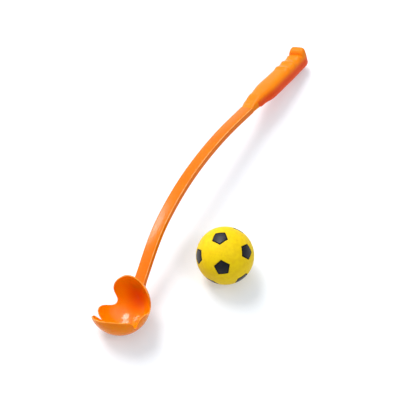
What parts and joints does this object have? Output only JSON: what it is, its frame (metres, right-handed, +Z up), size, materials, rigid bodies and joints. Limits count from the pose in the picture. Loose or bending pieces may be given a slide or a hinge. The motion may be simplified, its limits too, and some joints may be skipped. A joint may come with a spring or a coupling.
{
  "type": "dog ball thrower",
  "caption": "Ball thrower with a clawed cup on a long arched arm and a ribbed two-shell handle, lying on its side next to its foam-rubber football.",
  "frame": {"origin": "on the floor, in the middle of the box round thrower and ball as they lie", "axes": "+Z up; +X along the thrower, from the cup towards the end of the handle; +Y to the thrower's left, the side that the cup's mouth leans to; the ball lies on the right, on the -Y side"},
  "size_m": [0.4288, 0.12, 0.063],
  "materials": {
    "orange_plastic": "satin injection-moulded polypropylene, bright orange",
    "yellow_rubber": "matte foam rubber, bright yellow",
    "black_rubber": "satin black rubber let into the ball",
    "zinc_steel": "zinc plated"
  },
  "bodies": {
    "thrower": {"cup": "orange_plastic", "arm": "orange_plastic", "handle_top": "orange_plastic", "handle_bottom": "orange_plastic", "handle_screw_front": "zinc_steel", "handle_screw_middle": "zinc_steel", "handle_screw_rear": "zinc_steel"},
    "ball": {"ball": "yellow_rubber", "pentagon_01": "black_rubber", "pentagon_02": "black_rubber", "pentagon_03": "black_rubber", "pentagon_04": "black_rubber", "pentagon_05": "black_rubber", "pentagon_06": "black_rubber", "pentagon_07": "black_rubber", "pentagon_08": "black_rubber", "pentagon_09": "black_rubber", "pentagon_10": "black_rubber", "pentagon_11": "black_rubber", "pentagon_12": "black_rubber"}
  },
  "joints": [
    {"name": "ball_lift", "type": "slide", "parent": "thrower", "child": "ball", "axis": [0, 0, 1], "range_m": [0, 0.12]}
  ]
}
